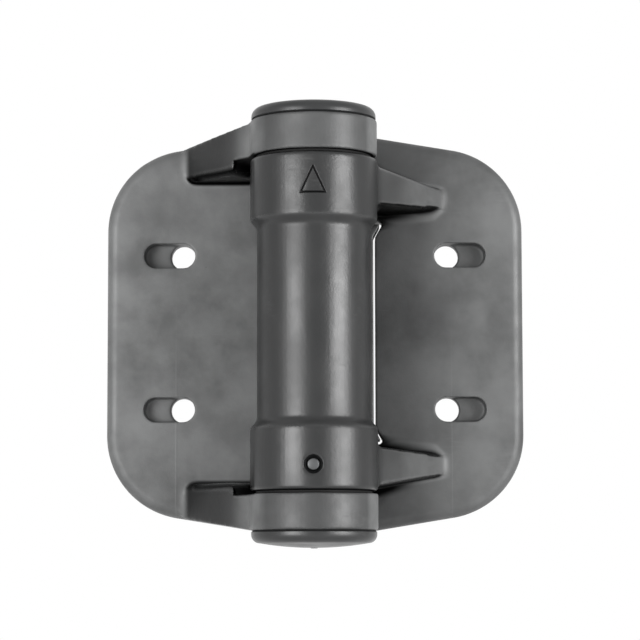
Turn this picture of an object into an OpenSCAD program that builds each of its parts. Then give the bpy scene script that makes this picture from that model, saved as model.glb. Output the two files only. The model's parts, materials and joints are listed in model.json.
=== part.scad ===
// Self-closing gate hinge: two moulded leaves joined round a spring barrel.
// The origin is the middle of the post leaf's two screw holes, on its flat back face.
// X runs across the hinge from the post to the gate, Y away from the viewer, and Z up along the pivot.
// The post leaf is on the left and holds the two end rings. The gate leaf is on the right.

/* [Leaves] */
// Distance from the pivot axis to the outer edge of each leaf
leaf_reach = 55; // [52:0.5:62]
// Height of the rings' end faces above the leaves' top edge
leaf_drop = 0.2; // [0.1:0.1:1]
// Thickness of the leaves
leaf_t = 8; // [7:0.5:10]
// Distance from the pivot axis to the front face of the leaves
leaf_front = 22; // [21.9:0.1:26]
// Radius of the outer corners
corner_r = 22; // [16:1:24]
// Fall of the top edge towards the corner, in degrees
edge_fall = 9.4; // [4:0.2:12]
// Rounding of the front edge
edge_r = 3; // [1:0.5:3.5]
// Sideways gap between the two leaves
leaf_gap = 0.9; // [0.6:0.1:1.2]
// Gap at the closing stop, where the leaves meet behind the rings
stop_gap = 0.3; // [0.2:0.05:0.6]
// Distance from the pivot axis to the gate leaf's closing stop
stop_x = 1.5; // [1:0.1:3]
// Reach of the post leaf's tongue beyond the side of the barrel
tongue_over = 0.95; // [0.6:0.05:1.6]
// Sideways step at the ends of the tongue
tongue_step = 1.9; // [1:0.1:3]
// Height of that step
tongue_step_h = 3.5; // [2:0.1:5]

/* [Screw holes] */
// Distance from the pivot axis to the screw holes
hole_x = 34.9; // [33.5:0.1:36]
// Distance between the two screw holes of a leaf
hole_spacing = 40.8; // [38:0.2:42]
// Diameter of a screw hole
hole_d = 6.5; // [5:0.1:7]
// End-to-end length of the recess in front of a screw hole
slot_length = 13.5; // [10:0.5:14]
// Depth of that recess
slot_depth = 4; // [2:0.5:4]

/* [Pockets in the back] */
// Side of a pocket
pocket = 10; // [8:0.5:10.5]
// Rib between two pockets
pocket_rib = 1.7; // [1.2:0.1:3]
// Depth of the pockets
pocket_depth = 3.5; // [2:0.5:3.5]
// Least wall between a pocket and the outline of its leaf
pocket_rim = 1.7; // [1.5:0.1:3]
// Wall left round the screw holes
screw_wall = 1.6; // [1.2:0.1:3]

/* [Barrel and rings] */
// Diameter of the end rings and of the barrel's collars
ring_d = 32.6; // [32:0.2:33]
// Height of an end ring
ring_h = 9.2; // [9.1:0.1:10]
// Gap between an end ring and the barrel
ring_gap = 0.7; // [0.6:0.05:0.9]
// Inset of the washer in that gap from the side of the ring
washer_inset = 1.5; // [1:0.1:2.5]
// Length of the barrel with its collars
barrel_h = 85; // [82:0.5:86]
// Diameter of the barrel between the collars
barrel_d = 29.1; // [28.6:0.1:30]
// Length of a collar
collar_h = 16; // [14:0.5:17]
// Length of the sloped step from a collar to the barrel
collar_step = 1.9; // [1:0.1:3]
// Rounding at the end of a collar
collar_edge = 0.6; // [0.2:0.1:1]
// Diameter of the bore that holds the spring
bore_d = 23.6; // [23.2:0.1:24]
// Wall of a ring round its cap's recess
ring_wall = 2.7; // [2.3:0.1:3]
// Depth of that recess
recess_depth = 2.2; // [2:0.1:2.6]

/* [Up mark] */
// Height of the triangle
mark_h = 6.7; // [5:0.1:7]
// Width of the triangle
mark_w = 6.2; // [4:0.1:7]
// Width of its engraved line
mark_line = 0.35; // [0.3:0.05:0.6]
// Depth of the line on the front of the collar
mark_depth = 0.65; // [0.5:0.05:0.9]
// Height of the triangle's base above the lower edge of the collar
mark_rise = 5.4; // [3:0.1:7]

/* [Arms] */
// Distance from the pivot axis to the foot of the arms
arm_foot_x = 34; // [32:0.5:35]
// Distance from the end of the barrel to the lower edge of a gate arm at the collar
gate_arm_drop = 11.4; // [9.5:0.1:12.1]
// Distance from that edge down to the split between the leaves
gate_arm_inset = 1.5; // [1:0.1:2.5]
// Distance from the end of the barrel to the upper edge of a gate arm at the collar
gate_arm_set = 1.5; // [1.1:0.1:3.5]
// Rise of a gate arm's lower edge from the collar to its foot
gate_foot_rise = 1.5; // [0.5:0.1:2.3]
// Width of a gate arm at its foot
gate_foot_w = 5; // [4:0.2:6]
// Height of a post arm at its ring
post_arm_h = 13.2; // [11.2:0.2:14]
// Radius of the lower corner of a post arm's foot
post_foot_r = 2.6; // [1:0.2:4]
// Fillet at the foot of the arms
foot_fillet = 3; // [1.5:0.5:4]
// Fillet between an arm and its ring or collar
ring_fillet = 6; // [3:0.5:9]
// Distance from the leaf's front face to the space kept clear under a post arm for the gate arm
swing_inset = 0.4; // [0.2:0.1:3]

/* [Caps] */
// Inset of a cap's side from the side of its ring
cap_inset = 0.3; // [0.1:0.1:0.8]
// Height of a cap's side, with its rounded edge
cap_rim_h = 2.4; // [2:0.1:3]
// Rounding of a cap's edge
cap_edge_r = 1.5; // [0.8:0.1:1.8]
// Height of the dome above a cap's side
cap_dome_h = 1.9; // [1:0.1:2.5]
// Thickness of a cap's shell
cap_wall = 1.6; // [1.2:0.1:2]
// Gap between the spigot that holds a cap and the bottom of its recess
spigot_gap = 0.6; // [0.3:0.1:0.8]
// Thickness of the seal under a cap
seal_t = 0.3; // [0.25:0.05:0.4]
// Inset of the seal from the cap's side
seal_inset = 0.3; // [0.1:0.1:0.6]

/* [Adjuster] */
// Distance from the bore's wall in to the adjuster's drum, which is the upper journal
drum_inset = 1.3; // [1.2:0.1:1.6]
// Number of locking teeth, and of the places where they lock
tooth_count = 12; // [8:1:14]
// Height of the locking teeth
tooth_h = 2; // [1.6:0.1:2]
// Distance from the lock ring's side in to the tips of the teeth
tooth_inset = 1.1; // [1:0.1:1.5]
// Width of a locking tooth
tooth_w = 1.8; // [1.4:0.1:2.2]
// Length of the drum inside the barrel
drum_depth = 10.5; // [9:0.5:13]
// Width of the screwdriver slot
driver_slot_w = 2.2; // [1.6:0.1:3]
// Depth of the screwdriver slot
driver_slot_h = 3.2; // [2:0.2:4]
// Wall left at the ends of the screwdriver slot
driver_slot_wall = 2; // [1:0.5:4]
// Thickness of the retaining rings
clip_t = 0.8; // [0.6:0.1:0.9]
// Depth of the groove for the retaining ring over the adjuster
clip_groove = 0.6; // [0.4:0.1:0.8]
// Reach of that retaining ring over the teeth
clip_reach = 0.9; // [0.6:0.1:1.4]
// Opening of that retaining ring
clip_opening = 5; // [3:0.5:8]
// Length of the upper bush
upper_bush_h = 9.5; // [7:0.5:12]
// Wall of the upper bush
upper_bush_wall = 2.6; // [2:0.1:2.8]

/* [Spring and lower pivot] */
// Diameter of the spring wire
wire_d = 2.6; // [2:0.1:2.8]
// Wall of the adjuster's drum beside the spring's end
tang_wall = 0.4; // [0.3:0.1:0.8]
// Number of turns of the spring
spring_turns = 16; // [12:1:17]
// Depth of the holes for the spring's ends
tang_depth = 4; // [3:0.5:5]
// Thickness of the spring seats
seat_t = 0.8; // [0.6:0.1:1]
// Gap between the spring and the mandrel
mandrel_gap = 1; // [0.7:0.1:1.2]
// Wall of the mandrel
mandrel_wall = 1.6; // [1:0.1:3]
// Depth of the mandrel's socket in the lower pivot
mandrel_socket = 6; // [4:0.5:8]
// Reach of the mandrel into the adjuster
mandrel_rise = 5; // [3:0.5:6]
// Length of the lower pivot inside the barrel
pivot_depth = 12.5; // [12:0.5:15]
// Distance from the bore's wall in to the lower journal
journal_inset = 2.8; // [2.6:0.1:3.8]
// Wall of the lower bush
lower_bush_wall = 3.15; // [2.9:0.05:3.4]
// Length of the lower bush
lower_bush_h = 4.8; // [4:0.1:4.9]
// Thickness of the washer under the lower bush
pivot_washer_t = 0.6; // [0.5:0.1:0.8]
// Depth of the journal's groove
pivot_groove = 1; // [0.6:0.1:1.5]
// Inset of the journal's retaining ring from the side of the lower bush
pivot_clip_inset = 1; // [0.6:0.1:1.4]
// Opening of the journal's retaining ring, as a share of the groove's diameter
pivot_clip_opening = 0.8; // [0.6:0.05:0.85]
// Distance from the end of the barrel to the middle of the anchor pin
pin_rise = 6.3; // [4.5:0.1:7.9]
// Diameter of the anchor pin
pin_d = 3.2; // [2.6:0.1:3.4]
// Diameter of the recess round the anchor pin
pin_recess_d = 4.6; // [4:0.1:6]
// Depth of the recess round the anchor pin
pin_recess_h = 1.3; // [1:0.1:2]
// Distance from the front of the collar to the anchor pin's end
pin_sunk = 0.7; // [0.3:0.1:1]
// Chamfer at the anchor pin's end
pin_chamfer = 0.5; // [0.3:0.1:0.8]

/* [Clearances] */
// Radial clearance of a running fit
running_fit = 0.05; // [0.03:0.01:0.08]
// Radial clearance of a pressed piece
press_fit = 0.02; // [0.01:0.01:0.04]
// Radial clearance of a cap's spigot
snap_fit = 0.08; // [0.04:0.01:0.1]
// Clearance between flat faces that rest on each other
seat_clear = 0.02; // [0.01:0.01:0.05]
// Clearance between flat faces that slide on each other
face_clear = 0.1; // [0.05:0.01:0.15]
// Clearance between loose curved faces
loose_clear = 0.3; // [0.25:0.05:0.4]

/* [Hidden] */
$fn = 64;

// Colours of the finishes
polymer_black = "#4c4f50";
cap_black = "#454849";
seal_black = "#161617";
steel_grey = "#b9bcc0";
acetal_white = "#d9d6cc";
zinc_grey = "#9a9da1";

// Length by which a cut runs past the face that it opens, or a piece sinks into the one it grows from
over = 1;
// Depth by which a fillet's circle crosses the edges that it joins, so that it doesn't just touch them
fillet_bite = 0.01;
// Height by which a leaf's corner stands proud of its falling edge, so that their faces don't just touch
corner_proud = 0.02;

// Heights along the pivot, measured from the middle of the hinge
barrel_end = barrel_h / 2;
ring_low = barrel_end + ring_gap;
ring_top = ring_low + ring_h;
collar_low = barrel_end - collar_h;
body_end = collar_low - collar_step;
ring_r = ring_d / 2;
bore_r = bore_d / 2;

// Stack inside the top ring, from its top face down
recess_r = ring_r - ring_wall;
groove_h = clip_t + face_clear;
groove_low = ring_top - recess_depth - groove_h;
drum_top = groove_low - face_clear;
lock_low = groove_low - tooth_h - loose_clear;
lock_seat_r = recess_r - 2 * face_clear;
press_travel = drum_top - lock_low + loose_clear;
web_top = drum_top - tooth_h - press_travel - face_clear;
drum_r = bore_r - drum_inset;
drum_low = barrel_end - drum_depth;
tooth_r = lock_seat_r - tooth_inset;
upper_bush_r = drum_r + running_fit + upper_bush_wall;

// Pieces round the lower journal, from the ring's upper face down
journal_r = bore_r - journal_inset;
lower_bush_r = journal_r + running_fit + lower_bush_wall;
pivot_washer_top = ring_low + lower_bush_h + face_clear;
pivot_groove_top = pivot_washer_top + pivot_washer_t + seat_clear;
pivot_groove_r = journal_r - pivot_groove;
pivot_clip_r = lower_bush_r - pivot_clip_inset;
journal_end = pivot_groove_top + groove_h + 2 * loose_clear;

// Spring chamber
plug_r = bore_r - running_fit;
plug_top = -barrel_end + pivot_depth;
wire_r = wire_d / 2;
tang_hole_r = wire_r + loose_clear;
spring_r = drum_r - tang_wall - tang_hole_r;
mandrel_r = spring_r - wire_r - mandrel_gap;
seat_inner_r = mandrel_r + loose_clear;
seat_outer_r = bore_r - 2 * loose_clear;
pin_inner = mandrel_r + 2 * loose_clear;
pin_z = barrel_end - pin_rise;
spring_low = plug_top + seat_t + wire_r + face_clear;
spring_high = drum_low - seat_t - wire_r - face_clear;

// The wire turns out of its end on a bend of one wire diameter, and has six sides
tang_angle = 90;
bend_r = wire_d;
bend_angle = bend_r / spring_r * 180 / PI;
coil_steps = 12;
wire_sides = 6;

// Outline of a leaf: the corner's centre follows from the edges that it touches
leaf_half_h = ring_top - leaf_drop;
corner_x = leaf_reach - corner_r;
corner_z = leaf_half_h - tan(edge_fall) * (corner_x - ring_r) - corner_r / cos(edge_fall);
function edge_z(x) = leaf_half_h - tan(edge_fall) * max(0, x - ring_r);

// Heights of the arms
gate_arm_low = barrel_end - gate_arm_drop;
gate_arm_high = barrel_end - gate_arm_set;
gate_foot_low = gate_arm_low + gate_foot_rise;
post_arm_low = leaf_half_h - post_arm_h;

// Split between the leaves: it follows the barrel, then runs inwards behind the collar
tongue_x = barrel_d / 2 + tongue_over;
tongue_wide_x = tongue_x + tongue_step;
gate_low = gate_arm_low - gate_arm_inset;
tongue_half_h = gate_low - leaf_gap;
tongue_straight = tongue_half_h - tongue_step_h;
swing_clear_r = leaf_front - swing_inset;

// Rows and columns of the pockets, which leave the screw holes' column solid
pocket_pitch = pocket + pocket_rib;
pocket_shift = (hole_d + pocket) / 2 + screw_wall;
pocket_rows = [for (i = [-4:3]) (i + 0.5) * pocket_pitch];
pocket_columns = concat(
    [for (i = [0:3]) hole_x - pocket_shift - i * pocket_pitch],
    [hole_x + pocket_shift]
);

// Places the pivot axis in the hinge's frame
module on_pivot() {
    translate([hole_x, -(leaf_front + leaf_t), 0]) children();
}

// Turns a shape drawn flat, with its height as depth, into a leaf standing on its back face
module stand_up() {
    translate([0, leaf_front + leaf_t, 0]) rotate([90, 0, 0]) children();
}

// Both ends of the hinge, as mirror images
module both_ends() {
    children();
    mirror([0, 0, 1]) children();
}

module ring_shape(outer_r, inner_r, low, height) {
    translate([0, 0, low]) {
        difference() {
            cylinder(r = outer_r, h = height);
            translate([0, 0, -over]) cylinder(r = inner_r, h = height + 2 * over);
        }
    }
}

// Section of a leaf's edge, with its front edge rounded. It stands proud of the front face, which is trimmed later
module edge_section() {
    round_z = leaf_t - edge_r + fillet_bite;
    square([corner_r, round_z]);
    square([corner_r - edge_r, leaf_t + over]);
    translate([corner_r - edge_r, round_z]) circle(r = edge_r);
}

// Distance by which a slab's edges run past the pivot axis before the split trims them
slab_side = 6;

// Upper corner of a leaf and the falling edge beside it, drawn flat
module leaf_corner() {
    bar_length = (corner_x + slab_side) / cos(edge_fall);
    translate([corner_x, corner_z, 0]) {
        rotate_extrude(angle = 90 - edge_fall) edge_section();
        rotate([0, 0, -edge_fall]) translate([-bar_length, -corner_proud, 0])
            rotate([90, 0, 90]) linear_extrude(bar_length + over / 4) edge_section();
    }
}

// Block with the outer edges of a leaf, drawn flat, before its front face is trimmed and the split is cut
module leaf_block() {
    core_z = corner_z + over + tan(edge_fall) * (corner_x + slab_side);
    leaf_corner();
    mirror([0, 1, 0]) leaf_corner();
    translate([corner_x, corner_z, 0])
        rotate([90, 0, 0]) linear_extrude(2 * corner_z) edge_section();
    linear_extrude(leaf_t + over) polygon([
        [-tongue_wide_x - over, -core_z], [-slab_side, -core_z], [corner_x, -corner_z - over],
        [corner_x + over, -corner_z], [corner_x + over, corner_z], [corner_x, corner_z + over],
        [-slab_side, core_z], [-tongue_wide_x - over, core_z]
    ]);
}

// Outline kept for the gate leaf, which stops short of the post leaf's tongue
module gate_outline() {
    low_x = tongue_x + leaf_gap;
    wide_x = tongue_wide_x + leaf_gap;
    polygon([
        [low_x, -tongue_straight], [wide_x, -tongue_half_h], [wide_x, -gate_low],
        [stop_x, -gate_low], [stop_x, -leaf_half_h], [leaf_reach + over, -leaf_half_h],
        [leaf_reach + over, leaf_half_h], [stop_x, leaf_half_h], [stop_x, gate_low],
        [wide_x, gate_low], [wide_x, tongue_half_h], [low_x, tongue_straight]
    ]);
}

// Outline kept for the post leaf, drawn as if it were on the gate's side
module post_outline() {
    end_x = -(stop_x - stop_gap);
    polygon([
        [-tongue_x, -tongue_straight], [-tongue_wide_x, -tongue_half_h], [end_x, -tongue_half_h],
        [end_x, -leaf_half_h], [leaf_reach + over, -leaf_half_h], [leaf_reach + over, leaf_half_h],
        [end_x, leaf_half_h], [end_x, tongue_half_h], [-tongue_wide_x, tongue_half_h],
        [-tongue_x, tongue_straight]
    ]);
}

// Screw hole with the blind recess that runs outwards from it, drawn flat
module screw_cut() {
    run = slot_length - hole_d;
    translate([hole_x, hole_spacing / 2, 0]) {
        translate([0, 0, -over]) cylinder(d = hole_d, h = leaf_t + 2 * over);
        translate([0, 0, leaf_t - slot_depth]) {
            linear_extrude(slot_depth + over) {
                circle(d = hole_d);
                translate([run, 0]) circle(d = hole_d);
                translate([0, -hole_d / 2]) square([run, hole_d]);
            }
        }
    }
}

// True where a pocket stays clear of a screw hole and its recess
function clear_of_screw(x, z) =
    x < hole_x || abs(abs(z) - hole_spacing / 2) > (pocket + hole_d) / 2 + screw_wall;

// True where a pocket stays inside the outer edge
function inside_edge(x, z) =
    let (far_x = x + pocket / 2 + pocket_rim, far_z = abs(z) + pocket / 2 + pocket_rim)
    far_x < leaf_reach && far_z < edge_z(far_x) && (far_x < corner_x || far_z < corner_z
        || norm([far_x - corner_x, far_z - corner_z]) < corner_r);

// Inner edge of the gate leaf beside a pocket at one height
function gate_inner(z) =
    abs(z) + pocket / 2 < tongue_straight ? tongue_x + leaf_gap
    : abs(z) - pocket / 2 < gate_low + pocket_rim ? tongue_wide_x + leaf_gap : stop_x;

// Inner edge of the post leaf beside a pocket at one height, drawn as if it were on the gate's side
function post_inner(z) =
    abs(z) + pocket / 2 + pocket_rim < tongue_straight ? -tongue_x : -(stop_x - stop_gap);

module pocket_cut(x, z) {
    translate([x - pocket / 2, z - pocket / 2, -over]) cube([pocket, pocket, pocket_depth + over]);
}

module gate_pockets() {
    for (x = pocket_columns) {
        for (z = pocket_rows) {
            if (x - pocket / 2 > gate_inner(z) + pocket_rim && inside_edge(x, z) && clear_of_screw(x, z)) {
                pocket_cut(x, z);
            }
        }
    }
}

module post_pockets() {
    for (x = pocket_columns) {
        for (z = pocket_rows) {
            if (x - pocket / 2 > post_inner(z) + pocket_rim && inside_edge(x, z) && clear_of_screw(x, z)) {
                pocket_cut(x, z);
            }
        }
    }
}

// Concave fillet that fills the corner at a point between two directions
module corner_fillet(corner, dir_a, dir_b, r) {
    half = acos(dir_a * dir_b) / 2;
    reach = r / tan(half);
    mid = (dir_a + dir_b) / norm(dir_a + dir_b);
    centre = corner + mid * (r - fillet_bite) / sin(half);
    difference() {
        polygon([corner - mid * over / 2, corner + dir_a * reach, centre, corner + dir_b * reach]);
        translate(centre) circle(r = r);
    }
}

// Plan of an arm: a ramp from the ring down to the leaf, with a fillet at each end
module arm_plan() {
    ramp_angle = atan2(leaf_front, arm_foot_x - ring_r);
    along = [cos(ramp_angle), sin(ramp_angle)];
    outward = [sin(ramp_angle), -cos(ramp_angle)];
    foot = [arm_foot_x, leaf_front];
    ramp_distance = outward * foot;
    root = outward * ramp_distance + along * sqrt(ring_r * ring_r - ramp_distance * ramp_distance);
    centre_distance = ramp_distance + ring_fillet - fillet_bite;
    centre = outward * centre_distance
        + along * sqrt(pow(ring_r + ring_fillet - fillet_bite, 2) - centre_distance * centre_distance);
    polygon([
        [stop_x, 0], root - 3 * over * along, foot, foot + [0, over], [stop_x, leaf_front + over]
    ]);
    corner_fillet(foot, -along, [1, 0], foot_fillet);
    difference() {
        polygon([
            root - over * root / ring_r, centre * ring_r / (ring_r + ring_fillet), centre,
            centre - outward * ring_fillet, root + over * (along - outward)
        ]);
        translate(centre) circle(r = ring_fillet);
    }
}

// Front view of a gate arm, which narrows to a round foot
module gate_arm_front() {
    foot_mid = gate_foot_low + gate_foot_w / 2;
    end_x = arm_foot_x + foot_fillet - gate_foot_w / 2;
    polygon([
        [0, gate_arm_low], [ring_r, gate_arm_low], [end_x, gate_foot_low],
        [end_x, gate_foot_low + gate_foot_w], [ring_r, gate_arm_high], [0, gate_arm_high]
    ]);
    translate([end_x, foot_mid]) circle(d = gate_foot_w);
}

// Front view of a post arm, whose top follows the leaf's top edge
module post_arm_front() {
    end_x = arm_foot_x + foot_fillet / 2;
    polygon([
        [0, post_arm_low], [end_x - post_foot_r, post_arm_low],
        [end_x - post_foot_r, post_arm_low + post_foot_r], [end_x, post_arm_low + post_foot_r],
        [end_x, edge_z(end_x)], [ring_r, leaf_half_h], [0, leaf_half_h]
    ]);
    translate([end_x - post_foot_r, post_arm_low + post_foot_r]) circle(r = post_foot_r);
}

// An arm is where its plan and its front view meet
module arm_solid(low, high) {
    intersection() {
        translate([0, 0, low]) linear_extrude(high - low) arm_plan();
        translate([0, leaf_front + 2 * over, 0]) rotate([90, 0, 0])
            linear_extrude(leaf_front + ring_r + 2 * over) children();
    }
}

module post_arm() {
    difference() {
        arm_solid(post_arm_low - over, leaf_half_h + over) post_arm_front();
        translate([0, 0, post_arm_low - 2 * over]) {
            cylinder(r = swing_clear_r, h = ring_low - post_arm_low + 2 * over);
        }
    }
}

// Engraved outline of a triangle that marks the upper end: its inner edges lie one line inside
module up_mark() {
    half = mark_w / 2;
    slope = atan2(mark_h, half);
    inner_half = half - mark_line / tan(slope / 2);
    translate([0, -ring_r + mark_depth, collar_low + mark_rise]) rotate([90, 0, 0]) {
        linear_extrude(mark_depth + over) {
            difference() {
                polygon([[-half, 0], [half, 0], [0, mark_h]]);
                polygon([
                    [-inner_half, mark_line], [inner_half, mark_line],
                    [0, mark_line + inner_half * tan(slope)]
                ]);
            }
        }
    }
}

module barrel_solid() {
    body_r = barrel_d / 2;
    rotate_extrude() polygon([
        [0, -barrel_end], [ring_r - collar_edge, -barrel_end], [ring_r, -barrel_end + collar_edge],
        [ring_r, -collar_low], [body_r, -body_end], [body_r, body_end], [ring_r, collar_low],
        [ring_r, barrel_end - collar_edge], [ring_r - collar_edge, barrel_end], [0, barrel_end]
    ]);
}

module gate_leaf() {
    color(polymer_black) on_pivot() {
        difference() {
            union() {
                stand_up() {
                    intersection() {
                        leaf_block();
                        translate([0, 0, -over]) linear_extrude(leaf_t + over) gate_outline();
                    }
                }
                barrel_solid();
                both_ends() arm_solid(gate_arm_low - over, gate_arm_high + over) gate_arm_front();
            }
            translate([0, 0, -barrel_end - over]) cylinder(d = bore_d, h = barrel_h + 2 * over);
            translate([0, 0, barrel_end - upper_bush_h]) cylinder(r = upper_bush_r, h = upper_bush_h + over);
            translate([0, 0, -pin_z]) rotate([90, 0, 0]) {
                cylinder(r = pin_d / 2 + press_fit, h = ring_r + over);
                translate([0, 0, ring_r - pin_recess_h]) cylinder(d = pin_recess_d, h = pin_recess_h + over);
            }
            up_mark();
            stand_up() {
                screw_cut();
                mirror([0, 1, 0]) screw_cut();
                gate_pockets();
            }
        }
    }
}

module post_leaf() {
    color(polymer_black) on_pivot() {
        difference() {
            union() {
                mirror([1, 0, 0]) {
                    stand_up() {
                        intersection() {
                            leaf_block();
                            translate([0, 0, -over]) linear_extrude(leaf_t + over) post_outline();
                        }
                    }
                    both_ends() post_arm();
                }
                both_ends() translate([0, 0, ring_low]) cylinder(d = ring_d, h = ring_h);
            }
            both_ends() translate([0, 0, ring_top - recess_depth]) {
                cylinder(r = recess_r, h = recess_depth + over);
            }
            translate([0, 0, ring_low - over]) cylinder(r = drum_r + running_fit, h = ring_h);
            translate([0, 0, web_top]) cylinder(r = tooth_r + loose_clear, h = ring_top - web_top);
            translate([0, 0, lock_low]) cylinder(r = lock_seat_r + press_fit, h = ring_top - lock_low);
            translate([0, 0, groove_low]) cylinder(r = recess_r + clip_groove, h = groove_h);
            mirror([0, 0, 1]) translate([0, 0, ring_low - over]) {
                cylinder(r = lower_bush_r + press_fit, h = ring_h);
            }
            mirror([1, 0, 0]) {
                stand_up() {
                    screw_cut();
                    mirror([0, 1, 0]) screw_cut();
                    post_pockets();
                }
            }
        }
    }
}

// Domed cap with a hollow spigot that fits the ring's recess
cap_r = ring_r - cap_inset;
module cap_shape() {
    base = ring_top + seal_t;
    rim_top = base + cap_rim_h;
    flat_r = cap_r - cap_edge_r;
    dome_r = (flat_r * flat_r + cap_dome_h * cap_dome_h) / (2 * cap_dome_h);
    spigot_r = recess_r - snap_fit;
    spigot_low = ring_top - recess_depth + spigot_gap;
    rotate_extrude() {
        difference() {
            union() {
                translate([0, base]) square([cap_r, cap_rim_h - cap_edge_r]);
                translate([0, base]) square([flat_r, cap_rim_h]);
                intersection() {
                    translate([flat_r, rim_top - cap_edge_r]) circle(r = cap_edge_r);
                    translate([0, base]) square([cap_r, cap_rim_h]);
                }
                intersection() {
                    translate([0, rim_top + cap_dome_h - dome_r]) circle(r = dome_r, $fn = 180);
                    translate([0, base]) square([flat_r, cap_rim_h + cap_dome_h + over]);
                }
                translate([0, spigot_low]) square([spigot_r, base - spigot_low + over / 2]);
            }
            translate([-cap_r, spigot_low - over]) {
                square([cap_r + spigot_r - cap_wall, rim_top - cap_wall - spigot_low + over]);
            }
            translate([-2 * dome_r, 0]) square([2 * dome_r, 2 * ring_top]);
        }
    }
}

module top_cap() {
    color(cap_black) on_pivot() cap_shape();
}

module bottom_cap() {
    color(cap_black) on_pivot() mirror([0, 0, 1]) cap_shape();
}

module cap_seal() {
    ring_shape(cap_r - seal_inset, recess_r + face_clear, ring_top + seat_clear / 2, seal_t - seat_clear);
}

module top_cap_seal() {
    color(seal_black) on_pivot() cap_seal();
}

module bottom_cap_seal() {
    color(seal_black) on_pivot() mirror([0, 0, 1]) cap_seal();
}

// Row of equal blocks round the drum, used for its teeth and for the notches that hold them
module tooth_row(tip_r, width, low, height) {
    intersection() {
        translate([0, 0, low]) cylinder(r = tip_r, h = height);
        union() {
            for (i = [0:tooth_count - 1]) {
                rotate([0, 0, i * 360 / tooth_count]) translate([drum_r - over, -width / 2, low]) {
                    cube([tip_r, width, height]);
                }
            }
        }
    }
}

module tension_adjuster() {
    color(zinc_grey) on_pivot() {
        difference() {
            union() {
                translate([0, 0, drum_low]) cylinder(r = drum_r, h = drum_top - drum_low);
                tooth_row(tooth_r, tooth_w, drum_top - tooth_h, tooth_h);
            }
            translate([driver_slot_wall - drum_r, -driver_slot_w / 2, drum_top - driver_slot_h]) {
                cube([2 * (drum_r - driver_slot_wall), driver_slot_w, driver_slot_h + over]);
            }
            translate([0, 0, drum_low - over]) {
                cylinder(r = mandrel_r + running_fit, h = mandrel_rise + press_travel + 2 * over);
            }
            translate([0, spring_r, drum_low - over]) {
                cylinder(r = tang_hole_r, h = tang_depth + over);
            }
        }
    }
}

module lock_ring() {
    color(steel_grey) on_pivot() {
        difference() {
            translate([0, 0, lock_low + seat_clear]) {
                cylinder(r = lock_seat_r, h = groove_low - lock_low - 2 * seat_clear);
            }
            translate([0, 0, lock_low - over]) cylinder(r = drum_r + loose_clear, h = ring_h);
            tooth_row(tooth_r + loose_clear, tooth_w + 2 * loose_clear, lock_low - over, ring_h);
        }
    }
}

module adjuster_clip() {
    clip_r = recess_r + clip_groove - face_clear;
    color(steel_grey) on_pivot() {
        difference() {
            ring_shape(clip_r, tooth_r - clip_reach, groove_low + face_clear / 2, clip_t);
            translate([-clip_opening / 2, 0, groove_low - over]) {
                cube([clip_opening, clip_r + over, clip_t + 2 * over]);
            }
        }
    }
}

module upper_bush() {
    color(acetal_white) on_pivot() ring_shape(
        upper_bush_r - press_fit, drum_r + running_fit,
        barrel_end - upper_bush_h + seat_clear, upper_bush_h - seat_clear
    );
}

module lower_bush() {
    color(acetal_white) on_pivot() mirror([0, 0, 1]) {
        ring_shape(lower_bush_r, journal_r + running_fit, ring_low, lower_bush_h);
    }
}

module thrust_washer(inner_r) {
    ring_shape(ring_r - washer_inset, inner_r, barrel_end + face_clear, ring_gap - 2 * face_clear);
}

module upper_thrust_washer() {
    color(acetal_white) on_pivot() thrust_washer(drum_r + loose_clear);
}

module lower_thrust_washer() {
    color(acetal_white) on_pivot() mirror([0, 0, 1]) thrust_washer(journal_r + loose_clear);
}

// Places on the spring's wire as [angle, height]: an end, a bend, the turns, a bend and an end
function wire_bend(z, side) = [
    for (phi = [22.5:22.5:67.5])
        [side * bend_angle * (1 - cos(phi)), z + side * bend_r * sin(phi)]
];
tang_end = tang_depth - loose_clear;
top_angle = tang_angle + 360 * spring_turns;
coil_start = tang_angle + bend_angle;
coil_sweep = top_angle - bend_angle - coil_start;
coil_rise = spring_high - spring_low;
coil_count = spring_turns * coil_steps;
bend_low = wire_bend(spring_low - bend_r, 1);
bend_high = wire_bend(spring_high + bend_r, -1);
wire_places = concat(
    [[tang_angle, plug_top - tang_end], [tang_angle, spring_low - bend_r]],
    [for (p = bend_low) [tang_angle + p[0], p[1]]],
    [for (i = [0:coil_count])
        [coil_start + i * coil_sweep / coil_count, spring_low + i * coil_rise / coil_count]],
    [for (i = [len(bend_high) - 1:-1:0]) [top_angle + bend_high[i][0], bend_high[i][1]]],
    [[top_angle, spring_high + bend_r], [top_angle, drum_low + tang_end]]
);

module torsion_spring() {
    centres = [for (p = wire_places) [spring_r * cos(p[0]), spring_r * sin(p[0]), p[1]]];
    last = len(centres) - 1;
    rings = [
        for (i = [0:last])
            let (
                out = [cos(wire_places[i][0]), sin(wire_places[i][0]), 0],
                run = centres[min(i + 1, last)] - centres[max(i - 1, 0)],
                side = cross(run / norm(run), out)
            )
            for (k = [0:wire_sides - 1])
                let (turn = 360 * k / wire_sides)
                centres[i] + wire_r * (cos(turn) * out + sin(turn) * side)
    ];
    walls = [
        for (i = [0:last - 1])
            for (k = [0:wire_sides - 1])
                let (
                    a = i * wire_sides + k,
                    b = i * wire_sides + (k + 1) % wire_sides
                )
                each [[a, b, b + wire_sides], [a, b + wire_sides, a + wire_sides]]
    ];
    low_end = [for (k = [wire_sides - 1:-1:0]) k];
    high_end = [for (k = [0:wire_sides - 1]) last * wire_sides + k];
    color(steel_grey) on_pivot() polyhedron(rings, concat(walls, [low_end], [high_end]));
}

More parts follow.
